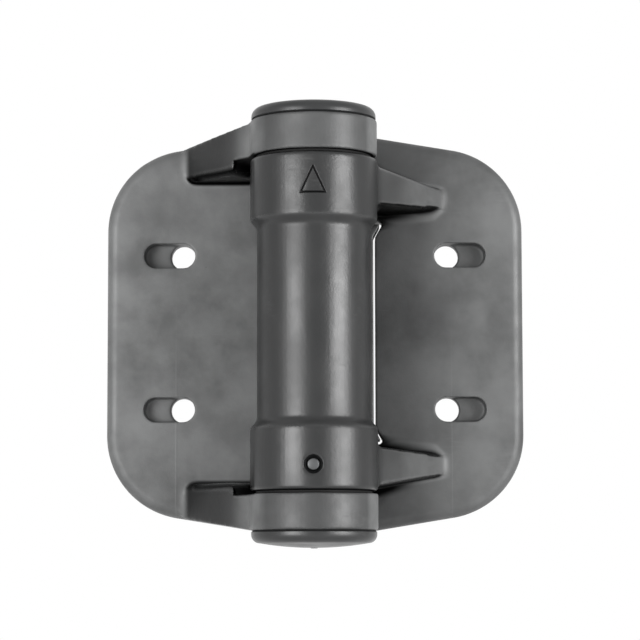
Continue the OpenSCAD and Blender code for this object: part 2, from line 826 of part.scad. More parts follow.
// Washer with a slot, open to its bore, for the spring's end
module spring_seat(low) {
    slot_half = tang_hole_r + loose_clear;
    color(steel_grey) on_pivot() {
        difference() {
            ring_shape(seat_outer_r, seat_inner_r, low, seat_t - seat_clear);
            translate([-slot_half, 0, low - over]) {
                cube([2 * slot_half, spring_r + tang_hole_r, seat_t + 2 * over]);
            }
        }
    }
}

module upper_spring_seat() {
    spring_seat(drum_low - seat_t);
}

module lower_spring_seat() {
    spring_seat(plug_top + seat_clear);
}

module spring_mandrel() {
    low = plug_top - mandrel_socket + face_clear;
    color(steel_grey) on_pivot() {
        ring_shape(mandrel_r, mandrel_r - mandrel_wall, low, drum_low + mandrel_rise - low);
    }
}

module lower_pivot() {
    color(zinc_grey) on_pivot() {
        difference() {
            union() {
                translate([0, 0, face_clear - barrel_end]) cylinder(r = plug_r, h = pivot_depth - face_clear);
                translate([0, 0, -journal_end]) cylinder(r = journal_r, h = journal_end - barrel_end + over);
            }
            translate([0, 0, plug_top - mandrel_socket]) {
                cylinder(r = mandrel_r + press_fit, h = mandrel_socket + over);
            }
            translate([0, spring_r, plug_top - tang_depth]) {
                cylinder(r = tang_hole_r, h = tang_depth + over);
            }
            mirror([0, 0, 1]) ring_shape(journal_r + over, pivot_groove_r, pivot_groove_top, groove_h);
            translate([0, -pin_inner + face_clear, -pin_z]) rotate([90, 0, 0]) {
                cylinder(r = pin_d / 2 + press_fit, h = ring_r);
            }
        }
    }
}

module pivot_washer() {
    color(steel_grey) on_pivot() mirror([0, 0, 1]) {
        ring_shape(lower_bush_r - loose_clear, journal_r + running_fit, pivot_washer_top, pivot_washer_t);
    }
}

// Horseshoe retaining ring in the journal's groove
module pivot_clip() {
    mouth = 2 * pivot_clip_opening * pivot_groove_r;
    color(steel_grey) on_pivot() mirror([0, 0, 1]) {
        difference() {
            ring_shape(pivot_clip_r, pivot_groove_r + press_fit, pivot_groove_top + face_clear / 2, clip_t);
            translate([-mouth / 2, 0, pivot_groove_top - over]) {
                cube([mouth, pivot_clip_r + over, clip_t + 2 * over]);
            }
        }
    }
}

module anchor_pin() {
    pin_r = pin_d / 2;
    outer = ring_r - pin_sunk;
    color(zinc_grey) on_pivot() translate([0, 0, -pin_z]) rotate([90, 0, 0]) {
        rotate_extrude() polygon([
            [0, pin_inner], [pin_r, pin_inner], [pin_r, outer - pin_chamfer],
            [pin_r - pin_chamfer, outer], [0, outer]
        ]);
    }
}

post_leaf();
gate_leaf();
top_cap();
bottom_cap();
top_cap_seal();
bottom_cap_seal();
tension_adjuster();
lock_ring();
adjuster_clip();
upper_bush();
lower_bush();
upper_thrust_washer();
lower_thrust_washer();
torsion_spring();
upper_spring_seat();
lower_spring_seat();
spring_mandrel();
lower_pivot();
pivot_washer();
pivot_clip();
anchor_pin();
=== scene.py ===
"""Looks for the self-closing gate hinge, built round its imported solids.

Every shape is made in millimetres about the pivot axis, with X towards the gate, Y away from the viewer
and Z up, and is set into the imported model's frame, in metres, when it is finished.
"""

import json
import math

import bmesh
import bpy
import numpy as np
from bpy.props import FloatProperty, FloatVectorProperty, IntProperty, PointerProperty
from mathutils import Matrix, Vector
from mathutils.bvhtree import BVHTree

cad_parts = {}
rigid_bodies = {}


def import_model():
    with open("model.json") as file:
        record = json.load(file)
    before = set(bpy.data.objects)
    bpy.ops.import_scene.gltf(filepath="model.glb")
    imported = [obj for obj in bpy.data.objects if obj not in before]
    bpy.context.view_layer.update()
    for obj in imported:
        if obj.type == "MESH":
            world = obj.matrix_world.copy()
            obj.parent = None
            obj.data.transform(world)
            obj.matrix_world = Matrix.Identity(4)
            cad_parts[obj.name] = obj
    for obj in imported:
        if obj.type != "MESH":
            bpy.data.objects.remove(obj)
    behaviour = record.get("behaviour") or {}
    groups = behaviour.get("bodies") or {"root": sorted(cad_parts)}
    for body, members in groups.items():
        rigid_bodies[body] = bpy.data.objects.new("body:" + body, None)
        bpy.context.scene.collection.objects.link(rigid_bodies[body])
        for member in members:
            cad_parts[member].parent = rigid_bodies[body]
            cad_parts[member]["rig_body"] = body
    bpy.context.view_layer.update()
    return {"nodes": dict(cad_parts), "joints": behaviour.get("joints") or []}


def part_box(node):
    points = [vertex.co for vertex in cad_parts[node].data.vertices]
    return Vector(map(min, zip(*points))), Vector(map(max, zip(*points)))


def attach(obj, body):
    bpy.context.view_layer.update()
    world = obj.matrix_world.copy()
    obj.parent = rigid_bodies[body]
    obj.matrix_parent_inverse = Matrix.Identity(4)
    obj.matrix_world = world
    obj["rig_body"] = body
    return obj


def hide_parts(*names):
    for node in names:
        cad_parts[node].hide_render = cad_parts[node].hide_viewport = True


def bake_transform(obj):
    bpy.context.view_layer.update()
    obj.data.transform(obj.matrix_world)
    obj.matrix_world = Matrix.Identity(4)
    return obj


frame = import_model()

bl_info = {
    "name": "Self-closing gate hinge",
    "version": (1, 0, 0),
    "blender": (4, 5, 0),
    "location": "3D View > Sidebar > Hinge",
    "description": "Gives the gate hinge's parts their moulded shapes and finishes, and lights them",
    "category": "Object",
}

MM = 0.001
SWING = next(joint for joint in frame["joints"] if joint["name"] == "gate_swing")
PIVOT = Vector(SWING["pos_m"])
TO_PIVOT = Matrix.Scale(1 / MM, 4) @ Matrix.Translation(-PIVOT)
FROM_PIVOT = TO_PIVOT.inverted()
Z_AXIS = Vector((0, 0, 1))

# Distance within which points of a mesh are one point, in millimetres
WELD = 0.001

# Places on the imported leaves, in millimetres about the pivot. Heights are the same above and below it
RING_GAP = 42.8  # height between the barrel's end and a ring
BARREL_RADIUS = 17.0  # just outside the collars and the rings
COLLAR_FRONT = -12.0  # Y before which only the fronts of the collars and the barrel lie
GATE_ARM_START = 16.3  # X where a gate arm leaves the collar
GATE_ARM_REACH = 18.0  # X from there to its foot
GATE_ARM_LOW = 31.1  # height of its inner side at its start
GATE_ARM_LOW_RISE = 1.5  # rise of its inner side from start to foot


def node_box(name):
    """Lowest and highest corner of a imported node, in millimetres about the pivot."""
    low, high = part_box(name)
    return TO_PIVOT @ low, TO_PIVOT @ high


# Ending of a finish's name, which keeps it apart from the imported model's plain material of that slot
FINISH = "_finish"


def finish_of(slot):
    """Finish of one of the record's material slots."""
    return bpy.data.materials[slot + FINISH]


# ---- sizes and colours


class HingeSizes(bpy.types.PropertyGroup):
    """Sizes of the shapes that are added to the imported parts."""

    mesh_pitch: FloatProperty(
        name="Mesh pitch", description="Spacing of the mesh on the moulded leaves",
        default=0.35 * MM, min=0.2 * MM, max=1.5 * MM, unit="LENGTH", precision=5,
    )
    edge_softness: FloatProperty(
        name="Edge softness", description="Rounding of the leaves' plain edges",
        default=0.24 * MM, min=0, max=1 * MM, unit="LENGTH", precision=5,
    )
    arm_softness: FloatProperty(
        name="Arm softness", description="Rounding of the arms and of their blends",
        default=0.85 * MM, min=0, max=2 * MM, unit="LENGTH", precision=5,
    )
    foot_softness: FloatProperty(
        name="Foot softness", description="Rounding under the gate arms, where they run into the plate",
        default=2.1 * MM, min=0, max=3 * MM, unit="LENGTH", precision=5,
    )
    step_softness: FloatProperty(
        name="Step softness", description="Rounding of the steps from the collars to the barrel",
        default=0.6 * MM, min=0, max=2 * MM, unit="LENGTH", precision=5,
    )
    leaf_triangles: IntProperty(
        name="Leaf triangles", description="Most triangles that a leaf keeps", default=190000, min=20000,
    )
    mark_depth: FloatProperty(
        name="Mark depth", description="Depth of the engraved triangle's line",
        default=0.3 * MM, min=0, max=0.6 * MM, unit="LENGTH", precision=5,
    )
    mark_line: FloatProperty(
        name="Mark line", description="Width of the engraved triangle's line",
        default=0.42 * MM, min=0.2 * MM, max=0.8 * MM, unit="LENGTH", precision=5,
    )
    nib_height: FloatProperty(
        name="Nib height", description="Height of the moulding nib in the middle of a cap",
        default=0.14 * MM, min=0, max=0.3 * MM, unit="LENGTH", precision=5,
    )
    round_steps: IntProperty(
        name="Round steps", description="Steps round a turned piece", default=128, min=24, max=256,
    )


class HingeColours(bpy.types.PropertyGroup):
    """Colours of the finishes."""

    leaf: FloatVectorProperty(
        name="Leaf", description="Glass-filled polymer of the barrel, the rings and the arms",
        default=(0.008, 0.0085, 0.0088), subtype="COLOR", min=0, max=1,
    )
    plate: FloatVectorProperty(
        name="Plate", description="The same polymer on the flat plates, where it is hazed",
        default=(0.104, 0.106, 0.106), subtype="COLOR", min=0, max=1,
    )
    cap: FloatVectorProperty(
        name="Cap", description="Polymer of the caps",
        default=(0.014, 0.0147, 0.0152), subtype="COLOR", min=0, max=1,
    )
    seal: FloatVectorProperty(
        name="Seal", description="Rubber of the seals under the caps",
        default=(0.008, 0.008, 0.008), subtype="COLOR", min=0, max=1,
    )
    steel: FloatVectorProperty(
        name="Steel", description="Stainless steel of the rings and washers",
        default=(0.56, 0.57, 0.58), subtype="COLOR", min=0, max=1,
    )
    zinc: FloatVectorProperty(
        name="Zinc", description="Cast alloy of the adjuster, the lower pivot and the anchor pin",
        default=(0.09, 0.092, 0.094), subtype="COLOR", min=0, max=1,
    )
    bush: FloatVectorProperty(
        name="Bush", description="Black acetal of the bushes and thrust washers",
        default=(0.012, 0.012, 0.012), subtype="COLOR", min=0, max=1,
    )
    # The dust colour also paints a highlight along the polymer's proud edges
    dust: FloatVectorProperty(
        name="Dust", description="Dust, scuffs and rubbed edges on the polymer",
        default=(0.30, 0.305, 0.305), subtype="COLOR", min=0, max=1,
    )
    floor: FloatVectorProperty(
        name="Floor", description="Studio floor", default=(0.6, 0.6, 0.6), subtype="COLOR", min=0, max=1,
    )


def sizes():
    """Sizes set in the panel."""
    return bpy.context.scene.hinge_sizes


def colours():
    """Colours set in the panel."""
    return bpy.context.scene.hinge_colours


# ---- node trees


def add_node(tree, kind, inputs=None, **settings):
    """Adds a node. An input's value is a number, a colour or the output socket that feeds it."""
    node = tree.nodes.new(kind)
    for name, value in settings.items():
        setattr(node, name, value)
    for name, value in (inputs or {}).items():
        if isinstance(value, bpy.types.NodeSocket):
            tree.links.new(value, node.inputs[name])
        else:
            node.inputs[name].default_value = value
    return node


def math_node(tree, operation, *values, clamp=False):
    """Output of a Math node over numbers and sockets."""
    node = add_node(tree, "ShaderNodeMath", dict(enumerate(values)), operation=operation, use_clamp=clamp)
    return node.outputs[0]


def between(tree, value, low, high, out_low=0.0, out_high=1.0, smooth=True):
    """Value mapped from one range to another, held at its ends."""
    node = add_node(
        tree, "ShaderNodeMapRange",
        {"Value": value, "From Min": low, "From Max": high, "To Min": out_low, "To Max": out_high},
        interpolation_type="SMOOTHSTEP" if smooth else "LINEAR",
    )
    return node.outputs["Result"]


def mix_colour(tree, factor, a, b):
    """Colour a where the factor is 0 and b where it is 1."""
    node = add_node(tree, "ShaderNodeMix", data_type="RGBA")
    for socket, value in ((node.inputs[0], factor), (node.inputs[6], a), (node.inputs[7], b)):
        if isinstance(value, bpy.types.NodeSocket):
            tree.links.new(value, socket)
        else:
            socket.default_value = value
    return node.outputs[2]


def opaque(colour):
    """Colour with its alpha."""
    return (*colour, 1.0)


def new_group(name, inputs, outputs):
    """Shader node group with number inputs and number outputs, as its tree and its two end nodes."""
    tree = bpy.data.node_groups.new(name, "ShaderNodeTree")
    for label, default in inputs.items():
        socket = tree.interface.new_socket(name=label, in_out="INPUT", socket_type="NodeSocketFloat")
        socket.default_value = default
    for label in outputs:
        tree.interface.new_socket(name=label, in_out="OUTPUT", socket_type="NodeSocketFloat")
    return tree, tree.nodes.new("NodeGroupInput").outputs, tree.nodes.new("NodeGroupOutput").inputs


def object_place(tree, scale=(1, 1, 1), shift=(0, 0, 0)):
    """Object coordinates, in metres, stretched and moved."""
    place = add_node(tree, "ShaderNodeTexCoord").outputs["Object"]
    return add_node(
        tree, "ShaderNodeMapping", {"Vector": place, "Scale": scale, "Location": shift}
    ).outputs["Vector"]


def build_groups():
    """Effects that the materials share."""
    # Fine grain of a moulded or cast face, as a height
    tree, given, out = new_group("Fine grain", {"Size mm": 0.4, "Roughness": 0.6}, ["Height"])
    frequency = math_node(tree, "DIVIDE", 1000.0, given["Size mm"])
    noise = add_node(
        tree, "ShaderNodeTexNoise",
        {"Vector": object_place(tree), "Scale": frequency, "Detail": 3.0, "Roughness": given["Roughness"]},
    )
    tree.links.new(noise.outputs["Fac"], out["Height"])

    # Slow change of shade over a face
    tree, given, out = new_group("Mottle", {"Size mm": 8.0, "Shift": 0.0}, ["Value"])
    frequency = math_node(tree, "DIVIDE", 1000.0, given["Size mm"])
    noise = add_node(
        tree, "ShaderNodeTexNoise",
        {"Vector": object_place(tree), "Scale": frequency, "Detail": 4.0, "Roughness": 0.55,
         "W": given["Shift"]},
        noise_dimensions="4D",
    )
    tree.links.new(between(tree, noise.outputs["Fac"], 0.3, 0.7), out["Value"])

    # Small round specks, in a share of the cells of a loose grid
    tree, given, out = new_group(
        "Specks", {"Cell mm": 3.0, "Radius": 0.06, "Share": 0.2, "Shift": 0.0}, ["Mask"]
    )
    frequency = math_node(tree, "DIVIDE", 1000.0, given["Cell mm"])
    cells = add_node(
        tree, "ShaderNodeTexVoronoi",
        {"Vector": object_place(tree), "Scale": frequency, "W": given["Shift"]}, voronoi_dimensions="4D",
    )
    chance = add_node(tree, "ShaderNodeSeparateColor", {"Color": cells.outputs["Color"]})
    inner = math_node(tree, "MULTIPLY", given["Radius"], 0.5)
    dot = between(tree, cells.outputs["Distance"], inner, given["Radius"], 1.0, 0.0)
    kept = math_node(tree, "LESS_THAN", chance.outputs["Red"], given["Share"])
    tree.links.new(math_node(tree, "MULTIPLY", dot, kept), out["Mask"])

    # Rubbed marks: thin streaks inside soft patches
    tree, given, out = new_group("Rubbed marks", {"Patch mm": 14.0, "Share": 0.4, "Shift": 0.0}, ["Mask"])
    frequency = math_node(tree, "DIVIDE", 1000.0, given["Patch mm"])
    patch = add_node(
        tree, "ShaderNodeTexNoise",
        {"Vector": object_place(tree), "Scale": frequency, "Detail": 3.0, "W": given["Shift"]},
        noise_dimensions="4D",
    )
    edge = math_node(tree, "SUBTRACT", 0.75, math_node(tree, "MULTIPLY", given["Share"], 0.4))
    area = between(tree, patch.outputs["Fac"], edge, math_node(tree, "ADD", edge, 0.15))
    streak = add_node(
        tree, "ShaderNodeTexNoise",
        {"Vector": object_place(tree, (180, 500, 1500)), "Scale": 1.0, "Detail": 2.0},
    )
    line = between(tree, streak.outputs["Fac"], 0.45, 0.7)
    tree.links.new(math_node(tree, "MULTIPLY", area, line), out["Mask"])

    # Thin upright line that a split in the mould leaves on a leaf, at a distance from the frame's origin. It
    # fades out about its top
    tree, given, out = new_group("Witness line", {"Place mm": 0.0, "Width mm": 0.3, "Top mm": 0.0}, ["Mask"])
    along = add_node(tree, "ShaderNodeSeparateXYZ", {"Vector": object_place(tree)})
    across_mm = math_node(tree, "MULTIPLY", along.outputs["X"], 1000.0)
    away = math_node(tree, "ABSOLUTE", math_node(tree, "SUBTRACT", across_mm, given["Place mm"]))
    core = math_node(tree, "MULTIPLY", given["Width mm"], 0.3)
    line = between(tree, away, core, given["Width mm"], 1.0, 0.0)
    height_mm = math_node(tree, "MULTIPLY", along.outputs["Z"], 1000.0)
    above = math_node(tree, "SUBTRACT", height_mm, given["Top mm"])
    fade = between(tree, above, -15.0, 15.0, 1.0, 0.15)
    tree.links.new(math_node(tree, "MULTIPLY", line, fade), out["Mask"])

    # Fine parallel lines that turning or drawing leaves on metal, as a height
    tree, given, out = new_group("Tool marks", {"Size mm": 0.15}, ["Height"])
    frequency = math_node(tree, "DIVIDE", 1000.0, given["Size mm"])
    noise = add_node(
        tree, "ShaderNodeTexNoise",
        {"Vector": object_place(tree, (0.08, 0.08, 1.0)), "Scale": frequency, "Detail": 2.0},
    )
    tree.links.new(noise.outputs["Fac"], out["Height"])


def place_group(tree, name, **inputs):
    """Output of a shared group with its own values. An input named size_mm is the socket Size mm."""
    node = tree.nodes.new("ShaderNodeGroup")
    node.node_tree = bpy.data.node_groups[name]
    for key, value in inputs.items():
        label = key.replace("_", " ").capitalize()
        node.inputs[label].default_value = value
    return node.outputs[0]


def new_material(name):
    """Finish, with its node tree and its Principled shader."""
    material = bpy.data.materials.new(name + FINISH)
    material.use_nodes = True
    return material, material.node_tree, material.node_tree.nodes["Principled BSDF"]


def bumped(tree, heights):
    """Normal from several heights, each with its depth in millimetres."""
    total = None
    for height, depth in heights:
        part = math_node(tree, "MULTIPLY", height, depth)
        total = part if total is None else math_node(tree, "ADD", total, part)
    bump = add_node(tree, "ShaderNodeBump", {"Height": total, "Distance": MM, "Strength": 1.0})
    return bump.outputs["Normal"]


# Height in the frame at which a witness line is half faded, in millimetres
WITNESS_TOP = PIVOT.z / MM - 8


def polymer_material(name, colour, flat_colour, grain_depth, witness=()):
    """Glass-filled polymer, glossy on the round shapes and hazed on the flat plates.

    Its colour and gloss follow the piece's own attributes: haze is 1 on a flat plate and also carries painted
    light and shade, edge is above 0 on a proud edge and below 0 in a hollow, and the painted shade attribute is
    1 where no light gets in, where it paints the surface black and takes its sheen.
    """
    material, tree, shader = new_material(name)
    grain = place_group(tree, "Fine grain", size_mm=0.45, roughness=0.6)
    coarse = place_group(tree, "Fine grain", size_mm=1.1, roughness=0.6)
    shade = place_group(tree, "Mottle", size_mm=9.0, shift=0.3)
    haze = place_group(tree, "Mottle", size_mm=22.0, shift=1.7)
    bright_dots = place_group(tree, "Specks", cell_mm=3.4, radius=0.045, share=0.10, shift=0.2)
    dark_dots = place_group(tree, "Specks", cell_mm=3.0, radius=0.07, share=0.07, shift=3.1)
    rubs = place_group(tree, "Rubbed marks", patch_mm=13.0, share=0.45, shift=0.9)
    flat = add_node(tree, "ShaderNodeAttribute", attribute_name="haze").outputs["Fac"]
    edge = add_node(tree, "ShaderNodeAttribute", attribute_name="edge").outputs["Fac"]
    recess = add_node(tree, "ShaderNodeAttribute", attribute_name="recess").outputs["Fac"]
    rubbed_edge_and_highlight = between(tree, edge, 0.15, 1.0)
    hollow = between(tree, edge, -0.9, -0.1, 1.0, 0.0)

    dust = opaque(colours().dust)
    black = opaque([0.0] * 3)
    # The haze attribute brings its painted light and shade into the base here
    base = mix_colour(tree, math_node(tree, "POWER", flat, 2.2), opaque(colour), opaque(flat_colour))
    cloud = between(tree, flat, 0.0, 1.0, 0.01, 0.26)
    base = mix_colour(tree, math_node(tree, "MULTIPLY", shade, 0.50), base, black)
    base = mix_colour(tree, math_node(tree, "MULTIPLY", haze, cloud), base, dust)
    base = mix_colour(tree, math_node(tree, "MULTIPLY", rubs, 0.06), base, dust)
    # Proud edges are mixed towards dust as rubbed wear, strongly enough to paint a highlight along them as well
    base = mix_colour(tree, math_node(tree, "MULTIPLY", rubbed_edge_and_highlight, 0.10), base, dust)
    settled = math_node(tree, "MULTIPLY", hollow, math_node(tree, "MULTIPLY", flat, 0.30))
    base = mix_colour(tree, settled, base, dust)
    heights = [(grain, grain_depth), (coarse, grain_depth * 1.6)]
    for place in witness:
        line = place_group(tree, "Witness line", place_mm=place, width_mm=0.3, top_mm=WITNESS_TOP)
        line = math_node(tree, "MULTIPLY", line, flat)
        base = mix_colour(tree, math_node(tree, "MULTIPLY", line, 0.055), base, dust)
        heights.append((line, 0.02))
    base = mix_colour(tree, math_node(tree, "MULTIPLY", dark_dots, 0.6), base, black)
    base = mix_colour(tree, math_node(tree, "MULTIPLY", bright_dots, 0.7), base, dust)
    # Painted shade: the colour goes nearly black where no light gets in
    base = mix_colour(tree, recess, base, opaque([0.001] * 3))
    tree.links.new(base, shader.inputs["Base Color"])
    # Painted shade takes the sheen too: a metal as dark as this one mirrors next to nothing
    tree.links.new(recess, shader.inputs["Metallic"])

    rough = between(tree, flat, 0.0, 0.55, 0.29, 0.44, smooth=False)
    rough = math_node(tree, "ADD", rough, math_node(tree, "MULTIPLY", shade, 0.12))
    rough = math_node(tree, "ADD", rough, math_node(tree, "MULTIPLY", rubs, 0.12))
    rough = math_node(tree, "SUBTRACT", rough, math_node(tree, "MULTIPLY", rubbed_edge_and_highlight, 0.14), clamp=True)
    tree.links.new(rough, shader.inputs["Roughness"])
    tree.links.new(bumped(tree, heights), shader.inputs["Normal"])
    return material


def metal_material(name, colour, roughness, cast):
    """Cast or drawn metal: a cast face is grainy, and a drawn or turned one has fine lines."""
    material, tree, shader = new_material(name)
    shader.inputs["Metallic"].default_value = 1.0
    shade = place_group(tree, "Mottle", size_mm=5.0, shift=2.0)
    stain = place_group(tree, "Specks", cell_mm=2.0, radius=0.12, share=0.15, shift=0.6)
    base = mix_colour(tree, shade, opaque([c * 0.85 for c in colour]), opaque(colour))
    stained = opaque([c * 0.45 for c in colour])
    base = mix_colour(tree, math_node(tree, "MULTIPLY", stain, 0.5), base, stained)
    tree.links.new(base, shader.inputs["Base Color"])
    if cast:
        heights = [
            (place_group(tree, "Fine grain", size_mm=0.35, roughness=0.6), 0.02),
            (place_group(tree, "Fine grain", size_mm=1.5, roughness=0.5), 0.03),
        ]
    else:
        heights = [(place_group(tree, "Tool marks", size_mm=0.12), 0.008)]
    rough = math_node(tree, "ADD", roughness, math_node(tree, "MULTIPLY", shade, 0.12))
    tree.links.new(rough, shader.inputs["Roughness"])
    tree.links.new(bumped(tree, heights), shader.inputs["Normal"])
    return material


def soft_material(name, colour, roughness, grain_depth):
    """Rubber or acetal: an even shade with a faint grain and a few stains."""
    material, tree, shader = new_material(name)
    shade = place_group(tree, "Mottle", size_mm=6.0, shift=4.0)
    stain = place_group(tree, "Specks", cell_mm=2.5, radius=0.1, share=0.12, shift=1.4)
    base = mix_colour(tree, shade, opaque([c * 0.88 for c in colour]), opaque(colour))
    stained = opaque([c * 0.5 for c in colour])
    base = mix_colour(tree, math_node(tree, "MULTIPLY", stain, 0.4), base, stained)
    tree.links.new(base, shader.inputs["Base Color"])
    # These pieces lie deep in narrow gaps, so they show almost no sheen
    shader.inputs["Specular IOR Level"].default_value = 0.12
    rough = math_node(tree, "ADD", roughness, math_node(tree, "MULTIPLY", shade, 0.08))
    tree.links.new(rough, shader.inputs["Roughness"])
    grain = place_group(tree, "Fine grain", size_mm=0.3, roughness=0.5)
    tree.links.new(bumped(tree, [(grain, grain_depth)]), shader.inputs["Normal"])
    return material


# ---- shapes

# Move of a point by smoothing, in millimetres, at which its edge counts in full
FULL_EDGE = 0.2


def finish_piece(mesh, name, material, body, nodes, sharp_angle=None):
    """Sets a mesh made about the pivot into the frame, as a piece that rides on a body for its nodes."""
    mesh.transform(FROM_PIVOT)
    mesh.name = name
    mesh.shade_smooth()
    if sharp_angle is not None:
        mesh.set_sharp_from_angle(angle=math.radians(sharp_angle))
    mesh.materials.clear()
    mesh.materials.append(material)
    piece = bpy.data.objects.new(name, mesh)
    bpy.context.scene.collection.objects.link(piece)
    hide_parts(*nodes)
    if body:
        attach(piece, body)
    return piece


def mesh_from(bm, name):
    """Mesh of a bmesh, with its doubles merged and its faces turned outwards."""
    bmesh.ops.remove_doubles(bm, verts=bm.verts[:], dist=WELD)
    bmesh.ops.recalc_face_normals(bm, faces=bm.faces[:])
    mesh = bpy.data.meshes.new(name)
    bm.to_mesh(mesh)
    bm.free()
    return mesh


def points_of(mesh):
    """Places of a mesh's points, one row each."""
    co = np.empty(len(mesh.vertices) * 3, np.float32)
    mesh.vertices.foreach_get("co", co)
    return co.reshape(-1, 3).astype(float)


def put_points(mesh, co):
    """Moves a mesh's points."""
    mesh.vertices.foreach_set("co", co.astype(np.float32).ravel())
    mesh.update()


def ramp(value, low, high):
    """0 below low and 1 above high, with a smooth rise between."""
    t = np.clip((value - low) / (high - low), 0, 1)
    return t * t * (3 - 2 * t)


def within(value, low, high, fade):
    """1 from low to high, and 0 beyond a fade outside them."""
    return ramp(value, low - fade, low) * (1 - ramp(value, high, high + fade))


def evaluated_mesh(mesh, name, kind, **settings):
    """Mesh after one modifier."""
    carrier = bpy.data.objects.new(name, mesh)
    bpy.context.scene.collection.objects.link(carrier)
    modifier = carrier.modifiers.new(name, kind)
    for key, value in settings.items():
        setattr(modifier, key, value)
    ready = carrier.evaluated_get(bpy.context.evaluated_depsgraph_get())
    result = bpy.data.meshes.new_from_object(ready)
    bpy.data.objects.remove(carrier)
    bpy.data.meshes.remove(mesh)
    return result


def cutter_mesh(name, outline, rounded, radius, front, back):
    """Solid to cut with, and its mirror image below the pivot.

    It has an outline in the front view, one corner of which is rounded, and reaches from front to back.
    """
    bm = bmesh.new()
    verts = [bm.verts.new((x, front, z)) for x, z in outline]
    edges = [bm.edges.new(pair) for pair in zip(verts, verts[1:] + verts[:1])]
    face = bmesh.ops.contextual_create(bm, geom=edges)["faces"]
    grown = bmesh.ops.extrude_face_region(bm, geom=face)
    moved = [item for item in grown["geom"] if isinstance(item, bmesh.types.BMVert)]
    bmesh.ops.translate(bm, verts=moved, vec=(0, back - front, 0))
    corner = Vector(outline[rounded])
    along = [
        edge for edge in bm.edges
        if all((vert.co.xz - corner).length < WELD for vert in edge.verts)
    ]
    bmesh.ops.bevel(
        bm, geom=along, offset=radius, offset_type="OFFSET", affect="EDGES", segments=6, profile=0.5,
        material=-1,
    )
    bmesh.ops.mirror(bm, geom=bm.verts[:] + bm.edges[:] + bm.faces[:], merge_dist=-1, axis="Z")
    return mesh_from(bm, name)


def carved(mesh, name, cutter):
    """Mesh with another one cut out of it."""
    tool = bpy.data.objects.new(name + "_cutter", cutter)
    bpy.context.scene.collection.objects.link(tool)
    result = evaluated_mesh(
        mesh, name, "BOOLEAN", operation="DIFFERENCE", solver="EXACT", use_self=True, object=tool
    )
    bpy.data.objects.remove(tool)
    bpy.data.meshes.remove(cutter)
    return result


def moulded_leaf(node, softness, cut=None, shift=None, engrave=None):
    """A packed leaf as one moulding: even squares over its surface, smoothed so that its edges round off.

    softness gives each point its rounding in millimetres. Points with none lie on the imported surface. cut
    is taken off the leaf first. shift gives each point its move in X, and engrave works on the whole mesh.
    """
    pitch = sizes().mesh_pitch / MM * 1
    solid = bmesh.new()
    solid.from_mesh(frame["nodes"][node].data)
    bmesh.ops.transform(solid, matrix=TO_PIVOT, verts=solid.verts[:])
    bmesh.ops.remove_doubles(solid, verts=solid.verts[:], dist=WELD)
    surface = BVHTree.FromBMesh(solid)
    mesh = bpy.data.meshes.new(node)
    solid.to_mesh(mesh)
    solid.free()
    if cut:
        mesh = carved(mesh, node, cutter_mesh(node, **cut))
    mesh = evaluated_mesh(mesh, node, "REMESH", mode="VOXEL", voxel_size=pitch)

    before = points_of(mesh)
    amount = softness(before)
    passes = np.square(2 * amount / pitch)
    bm = bmesh.new()
    bm.from_mesh(mesh)
    verts = np.array(bm.verts[:], object)
    for step in range(int(np.ceil(passes.max()))):
        moving = verts[passes > step + 0.5].tolist()
        if moving:
            bmesh.ops.smooth_vert(
                bm, verts=moving, factor=0.5, use_axis_x=True, use_axis_y=True, use_axis_z=True
            )
    bm.to_mesh(mesh)
    bm.free()
    co = points_of(mesh)
    for index in np.flatnonzero(amount == 0):
        co[index] = surface.find_nearest(co[index])[0]
    if shift:
        co[:, 0] += shift(co)
    put_points(mesh, co)

    # An edge is proud where smoothing took a point inwards, and hollow where it took the point outwards
    normals = np.empty(len(co) * 3, np.float32)
    mesh.vertex_normals.foreach_get("vector", normals)
    normals = normals.reshape(-1, 3)
    inwards = ((before - co) * normals).sum(1)
    # Attributes for the finish: the proud or hollow edge, the painted shade, and the haze with painted light
    # and shade in it
    for name, values in (
        ("edge", np.clip(inwards / FULL_EDGE, -1, 1)),
        ("recess", leaf_recess(co, normals)),
        ("haze", leaf_haze_and_painted_light(co, normals)),
    ):
        mesh.attributes.new(name, "FLOAT", "POINT").data.foreach_set("value", values.astype(np.float32))

    if engrave:
        engrave(mesh)
    triangles = len(mesh.loops) - 2 * len(mesh.polygons)
    share = min(1.0, sizes().leaf_triangles / triangles)
    return evaluated_mesh(mesh, node, "DECIMATE", ratio=share)


# What is cut off the inner side of the post arms, in millimetres, up to just short of the plate's front
POST_CUT = {
    "outline": ((-38.0, 37.5), (-13.0, 37.5), (-13.0, 39.9), (-34.0, 39.9), (-34.0, 42.8), (-38.0, 42.8)),
    "rounded": 3,
    "radius": 2.7,
    "front": -20.0,
    "back": 21.95,
}


def close_gap(co):
    """Move in X that brings the gate plate's inner edge nearer to the barrel, in millimetres."""
    x, y, z = co.T
    inner_edge = (y > 20) & (np.abs(z) < 30)
    return np.where(inner_edge, -0.4 * (1 - ramp(x, 18.0, 21.0)), 0)


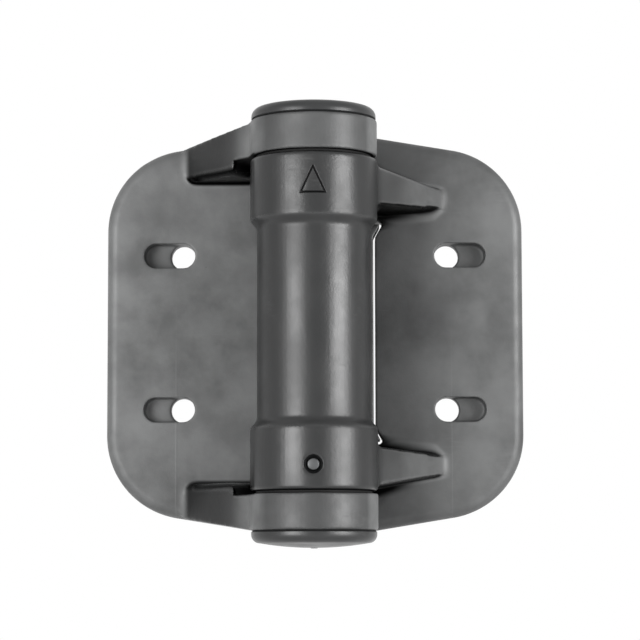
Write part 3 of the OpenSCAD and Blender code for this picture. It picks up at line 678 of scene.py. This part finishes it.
def engrave_mark(mesh):
    """Cuts the triangle that marks the upper end into the front of the upper collar, and paints shade into its
    line.
    """
    low, high = -3.1, 3.1
    base, apex = 31.95, 38.55
    margin = 1.2
    bm = bmesh.new()
    bm.from_mesh(mesh)
    middles = ((face, face.calc_center_median()) for face in bm.faces)
    patch = [
        face for face, at in middles
        if at.y < COLLAR_FRONT and abs(at.x) < high + margin and base - margin < at.z < apex + margin
    ]
    edges = list({edge for face in patch for edge in face.edges})
    bmesh.ops.subdivide_edges(bm, edges=edges, cuts=3, use_grid_fill=True)
    bm.to_mesh(mesh)
    bm.free()

    co = points_of(mesh)
    corners = [np.array(c) for c in ((low, base), (high, base), (0.0, apex))]
    flat = co[:, [0, 2]]
    near = np.full(len(co), np.inf)
    for start, end in zip(corners, corners[1:] + corners[:1]):
        run = end - start
        t = np.clip(((flat - start) @ run) / (run @ run), 0, 1)
        near = np.minimum(near, np.linalg.norm(flat - start - t[:, None] * run, axis=1))
    half = sizes().mark_line / MM / 2
    depth = sizes().mark_depth / MM * (1 - ramp(near, half - 0.12, half + 0.12))
    front = (co[:, 1] < COLLAR_FRONT) & (np.abs(co[:, 2] - (base + apex) / 2) < apex - base)
    radius = np.hypot(co[:, 0], co[:, 1])
    scale = np.where(front, 1 - depth / np.maximum(radius, 1), 1)
    co[:, :2] *= scale[:, None]
    put_points(mesh, co)
    # Painted shade in the engraved line's groove
    recess = mesh.attributes["recess"].data
    shade = np.empty(len(co), np.float32)
    recess.foreach_get("value", shade)
    line = front * (1 - ramp(near, half - 0.1, half + 0.08))
    recess.foreach_set("value", np.maximum(shade, 0.85 * line).astype(np.float32))


def below_gate_arm(x, z):
    """Distance of a point from a gate arm's inner side: above 0 on the arm, below 0 nearer to the middle."""
    return np.abs(z) - GATE_ARM_LOW - GATE_ARM_LOW_RISE * (x - GATE_ARM_START) / GATE_ARM_REACH


def leaf_haze_and_painted_light(co, normals):
    """Haze of a leaf's surface, with painted light and shade in it: most on the plates, less on the gate arms
    and the rings, none on the barrel. Less haze paints the colour darker and more paints it lighter: the
    plates' haze falls towards the barrel as a painted shadow of it, and the rings' sides and the gate arms'
    faces get more as painted light.
    """
    x, y, z = co.T
    on_ring = np.abs(z) > RING_GAP
    ring = 0.5 * on_ring * (np.hypot(x, y) < BARREL_RADIUS)
    # Painted light on the gate arms' faces that turn towards the gate, less near the collar
    face = within(x, 18.0, 34.0, 1.5) * within(np.abs(z), 30.5, 41.0, 0.8) * ramp(normals[:, 0], 0.3, 0.7)
    face *= 0.36 + 0.34 * ramp(x, 20.0, 27.0)
    # Painted light on the left and right sides of the rings
    lit_ring_sides = np.maximum(within(x, -17.0, -14.6, 6.0), ramp(x, 12.0, 14.5)) * within(y, -14.0, 12.0, 3.0)
    lit_ring_sides *= 0.9 * on_ring
    # The plates' haze falls towards the barrel, a little on the post side and much on the gate side: a painted
    # shadow of the barrel
    plate = np.where(x < 0, 0.93 + 0.07 * ramp(-x, 20, 48), 0.42 + 0.38 * ramp(x, 14, 50))
    return np.maximum.reduce([ring, face, lit_ring_sides, plate * ramp(y, 20.6, 21.8)])


def leaf_recess(co, normals):
    """Painted shade of a leaf, from 0 to 1: how far a point lies in deep shade, where its colour is painted
    dark.
    """
    x, y, z = co.T
    side = np.abs(x)
    height = np.abs(z)
    radius = np.hypot(x, y)
    # Painted shade on the inner sides of all arms, and on the undersides of the lower ones
    under = np.maximum(-normals[:, 2], -normals[:, 2] * np.sign(z))
    arm = within(side, 17.0, 32.5, 2.0) * within(height, 29.0, 43.1, 0.4) * within(y, -10.0, 22.1, 0.5)
    arm *= np.where(z < 0, 0.78, 1) * ramp(under, 0.25, 0.95)
    # Painted shade on the post arms: where the barrel's collar passes, on the lip of the ramp, and a little on
    # all of the ramp
    slot = (x < -15) * (radius < 21.8) * within(height, 39.0, 43.3, 0.3) * (y > -8)
    ramp_face = within(x, -34.2, -17.0, 1.0) * within(y, -10.0, 21.7, 0.3) * (height > 38.9) * (height < 53)
    lip = np.where(z < 0, 0.80, 1.0) * (1 - ramp(height, 40.8, 42.4)) * ramp_face
    ramp_shade = 0.30 * ramp_face * (1 - ramp(x, -25.0, -20.5))
    # Painted shadow on the gate plate beside its arms, least at their far ends
    inner = below_gate_arm(x, z)
    outer = height - 42.4 + 0.36 * (x - 16.6)
    near_foot = np.maximum(ramp(inner, -4.4, -0.6) * (inner < 2), (1 - ramp(outer, 0.2, 2.6)) * (outer > -2))
    foot = near_foot * (1 - ramp(x, 20.0, 33.0)) * (x > 14) * within(y, 17.0, 24.0, 1.0)
    foot *= ramp(-normals[:, 1], 0.3, 0.8)
    # Painted shade in the gaps between the barrel and the rings
    ring_gap_shade = within(height, 42.4, 43.3, 0.05) * within(radius, 5.0, 15.6, 0.15)
    return np.maximum.reduce([arm, slot, lip, ramp_shade, foot, ring_gap_shade])


def gate_softness(co):
    """Rounding of the gate leaf, in millimetres: most on the arms, least inside the bore."""
    x, y, z = co.T
    size = sizes()
    radius = np.hypot(x, y)
    amount = np.full(len(co), size.edge_softness / MM)
    arm = within(x, 9.0, 44.0, 2.0) * within(np.abs(z), 29.5, 43.0, 1.2) * within(y, -14.0, 23.6, 0.8)
    arm *= ramp(radius, 15.9, 17.5)
    step = within(np.abs(z), 23.6, 27.2, 0.8) * (radius < BARREL_RADIUS)
    amount += (size.arm_softness / MM - amount) * arm
    foot = within(x, 19.5, 31.5, 3.0) * within(below_gate_arm(x, z), -3.5, -0.2, 0.8)
    foot *= within(y, 17.0, 23.5, 1.0)
    amount += (size.foot_softness / MM - amount) * foot
    amount = np.maximum(amount, size.step_softness / MM * step)
    return np.where(radius < 13.9, 0, amount)


def post_softness(co):
    """Rounding of the post leaf, in millimetres: most under its arms, least inside the rings."""
    x, y, z = co.T
    size = sizes()
    radius = np.hypot(x, y)
    amount = np.full(len(co), size.edge_softness / MM)
    arm = within(x, -44.0, -9.0, 2.0) * within(np.abs(z), 36.0, 48.5, 2.5) * within(y, -14.0, 24.6, 0.8)
    arm *= ramp(radius, 15.9, 17.5)
    amount += (size.arm_softness / MM - amount) * arm
    lip = within(x, -33.0, -17.0, 1.5) * within(np.abs(z), 39.5, 42.8, 0.8) * within(y, -10.0, 19.5, 1.0)
    amount = np.maximum(amount, 2.0 * size.arm_softness / MM * lip * ramp(radius, 16.5, 18.5))
    return np.where((radius < 14.6) & (np.abs(z) > 43.0), 0, amount)


def add_arc(bm, vert, centre, angle, steps):
    """Continues a profile in the XZ plane from a point, on an arc about a centre. Returns the arc's end."""
    made = bmesh.ops.spin(
        bm, geom=[vert], cent=(centre[0], 0, centre[1]), axis=(0, 1, 0), angle=math.radians(angle),
        steps=steps, use_merge=False, use_duplicate=False,
    )
    return next(item for item in made["geom_last"] if isinstance(item, bmesh.types.BMVert))


def add_line(bm, vert, x, z):
    """Continues a profile in the XZ plane with a straight line. Returns its end."""
    made = bmesh.ops.extrude_vert_indiv(bm, verts=[vert])
    end = made["verts"][0]
    end.co = (x, 0, z)
    return end


def spin_profile(bm):
    """Turns a profile in the XZ plane once round the pivot."""
    bmesh.ops.spin(
        bm, geom=bm.verts[:] + bm.edges[:], cent=(0, 0, 0), axis=Z_AXIS, angle=math.tau,
        steps=sizes().round_steps, use_merge=True, use_duplicate=False,
    )


def cap_mesh(node):
    """Domed cap with a rounded rim, a hollow spigot and a small moulding nib."""
    low, high = node_box("top_cap")
    radius = (high.x - low.x) / 2
    base = node_box("top_cap_seal")[1].z + 0.01
    apex = high.z - sizes().nib_height / MM
    rim_r = 2.2
    rim_top = high.z - 1.3
    flat_r = radius - rim_r
    rise = apex - rim_top
    dome_r = (flat_r * flat_r + rise * rise) / (2 * rise)
    half_angle = math.degrees(math.asin(flat_r / dome_r))
    nib_r = 0.9
    nib_edge = 0.12
    spigot_r = 13.52
    wall = 1.6

    bm = bmesh.new()
    end = bm.verts.new((0, 0, high.z))
    end = add_line(bm, end, nib_r - nib_edge, high.z)
    end = add_line(bm, end, nib_r, high.z - nib_edge / 2)
    sag = dome_r - math.sqrt(dome_r ** 2 - (nib_r + nib_edge) ** 2)
    end = add_line(bm, end, nib_r + nib_edge, apex - sag)
    start_angle = math.degrees(math.asin((nib_r + nib_edge) / dome_r))
    end = add_arc(bm, end, (0, apex - dome_r), half_angle - start_angle, 16)
    end = add_arc(bm, end, (flat_r, rim_top - rim_r), 90, 8)
    end = add_line(bm, end, radius, base + 0.2)
    end = add_line(bm, end, radius - 0.2, base)
    end = add_line(bm, end, spigot_r, base)
    end = add_line(bm, end, spigot_r, low.z + 0.3)
    end = add_line(bm, end, spigot_r - 0.3, low.z)
    end = add_line(bm, end, spigot_r - wall, low.z)
    end = add_line(bm, end, spigot_r - wall, rim_top - wall)
    add_line(bm, end, 0, rim_top - wall)
    spin_profile(bm)
    if node == "bottom_cap":
        bmesh.ops.transform(bm, matrix=Matrix.Scale(-1, 4, Z_AXIS), verts=bm.verts[:])
    return mesh_from(bm, node)


def ring_mesh(node, soft):
    """Plain ring in the place of a packed one, with its outer corners taken off."""
    low, high = node_box(node)
    outer = (high.x - low.x) / 2
    inner = 13.7
    bm = bmesh.new()
    start = bm.verts.new((inner, 0, low.z))
    end = add_line(bm, start, outer - soft, low.z)
    end = add_line(bm, end, outer, low.z + soft)
    end = add_line(bm, end, outer, high.z - soft)
    end = add_line(bm, end, outer - soft, high.z)
    end = add_line(bm, end, inner, high.z)
    bm.edges.new((end, start))
    spin_profile(bm)
    return mesh_from(bm, node)


def pin_mesh():
    """Anchor pin with a rounded, slightly domed end."""
    low, high = node_box("anchor_pin")
    radius = (high.x - low.x) / 2
    length = high.y - low.y
    edge_r = 0.45
    dome = 0.1
    flat_r = radius - edge_r
    dome_r = (flat_r * flat_r + dome * dome) / (2 * dome)
    top = length - dome
    bm = bmesh.new()
    end = bm.verts.new((0, 0, length))
    end = add_arc(bm, end, (0, length - dome_r), math.degrees(math.asin(flat_r / dome_r)), 4)
    end = add_arc(bm, end, (flat_r, top - edge_r), 90, 5)
    end = add_line(bm, end, radius, 0.2)
    end = add_line(bm, end, radius - 0.2, 0)
    add_line(bm, end, 0, 0)
    spin_profile(bm)
    middle = (low + high) / 2
    place = Matrix.Translation((middle.x, high.y, middle.z)) @ Matrix.Rotation(math.radians(90), 4, "X")
    bmesh.ops.transform(bm, matrix=place, verts=bm.verts[:])
    return mesh_from(bm, "anchor_pin")


def spring_mesh():
    """Torsion spring: a round wire wound in even turns, with both ends turned along the pivot."""
    low, high = node_box("torsion_spring")
    wire_r = 1.3
    coil_r = 8.5
    turns = 16
    steps_per_turn = 28
    bend_r = 2 * wire_r
    tang = 4.4
    first = low.z + tang
    last = high.z - tang
    bend_turn = math.degrees(bend_r / coil_r)
    sweep = 360 * turns - 2 * bend_turn

    bm = bmesh.new()
    made = bmesh.ops.create_circle(bm, segments=12, radius=wire_r, cap_ends=False)
    turn_up = Matrix.Rotation(math.radians(90), 4, "X")
    start = Matrix.Rotation(math.radians(90 + bend_turn), 4, "Z")
    place = start @ Matrix.Translation((coil_r, 0, first)) @ turn_up
    bmesh.ops.transform(bm, matrix=place, verts=made["verts"])
    low_ring = bm.edges[:]
    steps = int(sweep / 360 * steps_per_turn)
    wound = bmesh.ops.spin(
        bm, geom=low_ring + made["verts"], cent=(0, 0, 0), axis=Z_AXIS, dvec=(0, 0, (last - first) / steps),
        angle=math.radians(sweep), steps=steps, use_merge=False, use_duplicate=False,
    )
    high_ring = [item for item in wound["geom_last"] if isinstance(item, bmesh.types.BMEdge)]
    for ring, side, at in ((low_ring, -1, first), (high_ring, 1, last)):
        angle = math.radians(90 + bend_turn) if side < 0 else math.radians(90 + bend_turn + sweep)
        out = Vector((math.cos(angle), math.sin(angle), 0))
        centre = out * coil_r + Vector((0, 0, at + side * bend_r))
        verts = list({vert for edge in ring for vert in edge.verts})
        bent = bmesh.ops.spin(
            bm, geom=ring + verts, cent=centre, axis=out, angle=math.radians(90),
            steps=6, use_merge=False, use_duplicate=False,
        )
        tip = [item for item in bent["geom_last"] if isinstance(item, bmesh.types.BMEdge)]
        grown = bmesh.ops.extrude_edge_only(bm, edges=tip)
        tip_verts = [item for item in grown["geom"] if isinstance(item, bmesh.types.BMVert)]
        bmesh.ops.translate(bm, verts=tip_verts, vec=(0, 0, side * (tang - bend_r)))
        bmesh.ops.contextual_create(
            bm, geom=[item for item in grown["geom"] if isinstance(item, bmesh.types.BMEdge)
                      and all(vert in tip_verts for vert in item.verts)]
        )
    return mesh_from(bm, "torsion_spring")


# ---- operators


class HINGE_OT_materials(bpy.types.Operator):
    """Makes the finishes and their shared effects"""

    bl_idname = "hinge.materials"
    bl_label = "Finishes"

    def execute(self, context):
        build_groups()
        paint = colours()
        middle = PIVOT.x / MM
        witness = (middle - 36.5, middle + 35.95)
        polymer_material("leaf_polymer", paint.leaf, paint.plate, 0.016, witness)
        polymer_material("cap_polymer", paint.cap, paint.cap, 0.010)
        soft_material("seal_rubber", paint.seal, 0.6, 0.01)
        soft_material("bearing_acetal", paint.bush, 0.6, 0.005)
        metal_material("adjuster_alloy", paint.zinc, 0.38, True)
        metal_material("stainless_steel", paint.steel, 0.22, False)
        metal_material("spring_steel", [c * 0.8 for c in paint.steel], 0.28, False)
        return {"FINISHED"}


class HINGE_OT_leaves(bpy.types.Operator):
    """Makes the post leaf with its end rings and the gate leaf with its barrel"""

    bl_idname = "hinge.leaves"
    bl_label = "Leaves"

    def execute(self, context):
        polymer = finish_of("leaf_polymer")
        post = moulded_leaf("post_leaf", post_softness, cut=POST_CUT)
        finish_piece(post, "post_leaf_moulding", polymer, "post", ["post_leaf"])
        gate = moulded_leaf("gate_leaf", gate_softness, shift=close_gap, engrave=engrave_mark)
        finish_piece(gate, "gate_leaf_moulding", polymer, "gate", ["gate_leaf"])
        return {"FINISHED"}


class HINGE_OT_caps(bpy.types.Operator):
    """Makes the two domed caps and the seals under them"""

    bl_idname = "hinge.caps"
    bl_label = "Caps and seals"

    def execute(self, context):
        for side in ("top", "bottom"):
            body = side + "_cap"
            finish_piece(
                cap_mesh(body), body + "_dome", finish_of("cap_polymer"), body,
                [body], 35,
            )
            seal = body + "_seal"
            ride_on = frame["nodes"][seal]["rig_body"]
            finish_piece(
                ring_mesh(seal, 0.05), seal + "_ring", finish_of("seal_rubber"), ride_on,
                [seal], 50,
            )
        return {"FINISHED"}


class HINGE_OT_pin(bpy.types.Operator):
    """Makes the anchor pin in the lower collar"""

    bl_idname = "hinge.pin"
    bl_label = "Anchor pin"

    def execute(self, context):
        finish_piece(
            pin_mesh(), "anchor_pin_round", finish_of("adjuster_alloy"), "gate",
            ["anchor_pin"], 50,
        )
        return {"FINISHED"}


class HINGE_OT_spring(bpy.types.Operator):
    """Winds the torsion spring inside the barrel"""

    bl_idname = "hinge.spring"
    bl_label = "Torsion spring"

    def execute(self, context):
        piece = finish_piece(
            spring_mesh(), "torsion_spring_wire", finish_of("spring_steel"), None,
            ["torsion_spring"], 60,
        )
        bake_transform(piece)
        return {"FINISHED"}


class HINGE_OT_inner_parts(bpy.types.Operator):
    """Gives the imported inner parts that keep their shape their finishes"""

    bl_idname = "hinge.inner_parts"
    bl_label = "Inner parts"

    def execute(self, context):
        finishes = {
            "tension_adjuster": "adjuster_alloy", "lower_pivot": "adjuster_alloy",
            "lock_ring": "stainless_steel", "adjuster_clip": "stainless_steel",
            "pivot_washer": "stainless_steel", "pivot_clip": "stainless_steel",
            "upper_spring_seat": "stainless_steel", "lower_spring_seat": "stainless_steel",
            "spring_mandrel": "stainless_steel",
            "upper_bush": "bearing_acetal", "lower_bush": "bearing_acetal",
            "upper_thrust_washer": "bearing_acetal", "lower_thrust_washer": "bearing_acetal",
        }
        for name, finish in finishes.items():
            for slot in frame["nodes"][name].material_slots:
                slot.material = finish_of(finish)
        return {"FINISHED"}


def look_matrix(target, azimuth, elevation, roll, distance):
    """Place of a camera or a lamp that looks at a target, in degrees and metres. Azimuth 0 is the front."""
    azimuth, elevation, roll = (math.radians(v) for v in (azimuth, elevation, roll))
    back = Vector((
        math.sin(azimuth) * math.cos(elevation), -math.cos(azimuth) * math.cos(elevation), math.sin(elevation)
    ))
    right = (-back).cross(Z_AXIS).normalized()
    up = right.cross(-back)
    right, up = (
        right * math.cos(roll) + up * math.sin(roll), up * math.cos(roll) - right * math.sin(roll)
    )
    eye = target + back * distance
    return Matrix.Translation(eye) @ Matrix((right, up, back)).transposed().to_4x4()


def seen_directly(tree):
    """1 for what the camera, a reflection or a clear piece shows, and 0 for the light that falls on things."""
    path = add_node(tree, "ShaderNodeLightPath").outputs
    seen = math_node(tree, "MAXIMUM", path["Is Camera Ray"], path["Is Transmission Ray"])
    return math_node(tree, "MAXIMUM", seen, path["Is Glossy Ray"])


# Lamps: name, azimuth and elevation in degrees, distance, width and height in metres, and power in watts
LAMPS = (
    ("left_softbox", -38.0, -2.0, 0.80, 0.40, 0.56, 6.9),
    ("right_softbox", 54.0, 2.0, 0.80, 0.44, 0.36, 7.2),
)

# The camera that took the photo, as fitted to the solids: what it looks at in millimetres about the pivot,
# azimuth, elevation and roll in degrees, distance in metres, and lens and sensor in millimetres
CAMERA_TARGET = (1.577, 0, 1.148)
CAMERA_TURN = (0.512, -5.443, -0.116)
CAMERA_DISTANCE = 0.657237
CAMERA_LENS = 144.675
CAMERA_SENSOR = 36

# The floor, in metres, and the share of white light that the surroundings throw on things
FLOOR_RADIUS = 4.0
FLOOR_HEIGHT = -0.22
WORLD_LIGHT = 0.25


class HINGE_OT_stage(bpy.types.Operator):
    """Sets the floor, the surroundings, the lamps and the camera"""

    bl_idname = "hinge.stage"
    bl_label = "Stage"

    def execute(self, context):
        scene = context.scene
        scene.view_settings.view_transform = "Standard"
        self.add_floor(scene)
        self.add_world(scene)
        for name, azimuth, elevation, distance, width, height, power in LAMPS:
            lamp = bpy.data.lights.new(name, "AREA")
            lamp.shape = "RECTANGLE"
            lamp.size = width
            lamp.size_y = height
            lamp.energy = power
            holder = bpy.data.objects.new(name, lamp)
            holder.matrix_world = look_matrix(PIVOT, azimuth, elevation, 0, distance)
            scene.collection.objects.link(holder)
        lens = bpy.data.cameras.new("camera")
        lens.lens = CAMERA_LENS
        lens.sensor_width = CAMERA_SENSOR
        lens.clip_start = 0.01
        camera = bpy.data.objects.new("camera", lens)
        camera.matrix_world = look_matrix(FROM_PIVOT @ Vector(CAMERA_TARGET), *CAMERA_TURN, CAMERA_DISTANCE)
        scene.collection.objects.link(camera)
        scene.camera = camera
        return {"FINISHED"}

    @staticmethod
    def add_floor(scene):
        """Pale round floor, white where it is seen directly."""
        bm = bmesh.new()
        bmesh.ops.create_circle(bm, cap_ends=True, segments=96, radius=FLOOR_RADIUS)
        bmesh.ops.translate(bm, verts=bm.verts[:], vec=(PIVOT.x, 0, FLOOR_HEIGHT))
        mesh = bpy.data.meshes.new("floor")
        bm.to_mesh(mesh)
        bm.free()
        material, tree, shader = new_material("studio_floor")
        shade = place_group(tree, "Mottle", size_mm=400.0, shift=5.0)
        paint = colours().floor
        base = mix_colour(tree, shade, opaque([c * 0.97 for c in paint]), opaque(paint))
        tree.links.new(base, shader.inputs["Base Color"])
        shader.inputs["Roughness"].default_value = 0.9
        glow = math_node(tree, "MULTIPLY", seen_directly(tree), 0.8)
        tree.links.new(glow, shader.inputs["Emission Strength"])
        shader.inputs["Emission Color"].default_value = (1, 1, 1, 1)
        mesh.materials.append(material)
        floor = bpy.data.objects.new("floor", mesh)
        scene.collection.objects.link(floor)

    @staticmethod
    def add_world(scene):
        """White surroundings, which light the part less than they show."""
        world = bpy.data.worlds.new("studio")
        world.use_nodes = True
        tree = world.node_tree
        level = between(tree, seen_directly(tree), 0.0, 1.0, WORLD_LIGHT, 1.0, smooth=False)
        background = tree.nodes["Background"]
        background.inputs["Color"].default_value = (1, 1, 1, 1)
        tree.links.new(level, background.inputs["Strength"])
        scene.world = world


class HINGE_PT_panel(bpy.types.Panel):
    """Lists the steps that make the hinge"""

    bl_idname = "HINGE_PT_panel"
    bl_label = "Gate hinge"
    bl_space_type = "VIEW_3D"
    bl_region_type = "UI"
    bl_category = "Hinge"

    def draw(self, context):
        layout = self.layout
        for group in (context.scene.hinge_sizes, context.scene.hinge_colours):
            box = layout.box()
            for name in group.__annotations__:
                box.prop(group, name)
        for step in STEPS:
            layout.operator(step.bl_idname)


STEPS = (
    HINGE_OT_materials, HINGE_OT_leaves, HINGE_OT_caps, HINGE_OT_pin, HINGE_OT_spring,
    HINGE_OT_inner_parts, HINGE_OT_stage,
)
CLASSES = (HingeSizes, HingeColours, *STEPS, HINGE_PT_panel)


def register():
    for cls in CLASSES:
        bpy.utils.register_class(cls)
    bpy.types.Scene.hinge_sizes = PointerProperty(type=HingeSizes)
    bpy.types.Scene.hinge_colours = PointerProperty(type=HingeColours)


def unregister():
    del bpy.types.Scene.hinge_colours
    del bpy.types.Scene.hinge_sizes
    for cls in reversed(CLASSES):
        bpy.utils.unregister_class(cls)


def main():
    register()
    bpy.ops.hinge.materials()
    bpy.ops.hinge.leaves()
    bpy.ops.hinge.caps()
    bpy.ops.hinge.pin()
    bpy.ops.hinge.spring()
    bpy.ops.hinge.inner_parts()
    bpy.ops.hinge.stage()


if __name__ == "__main__":
    main()
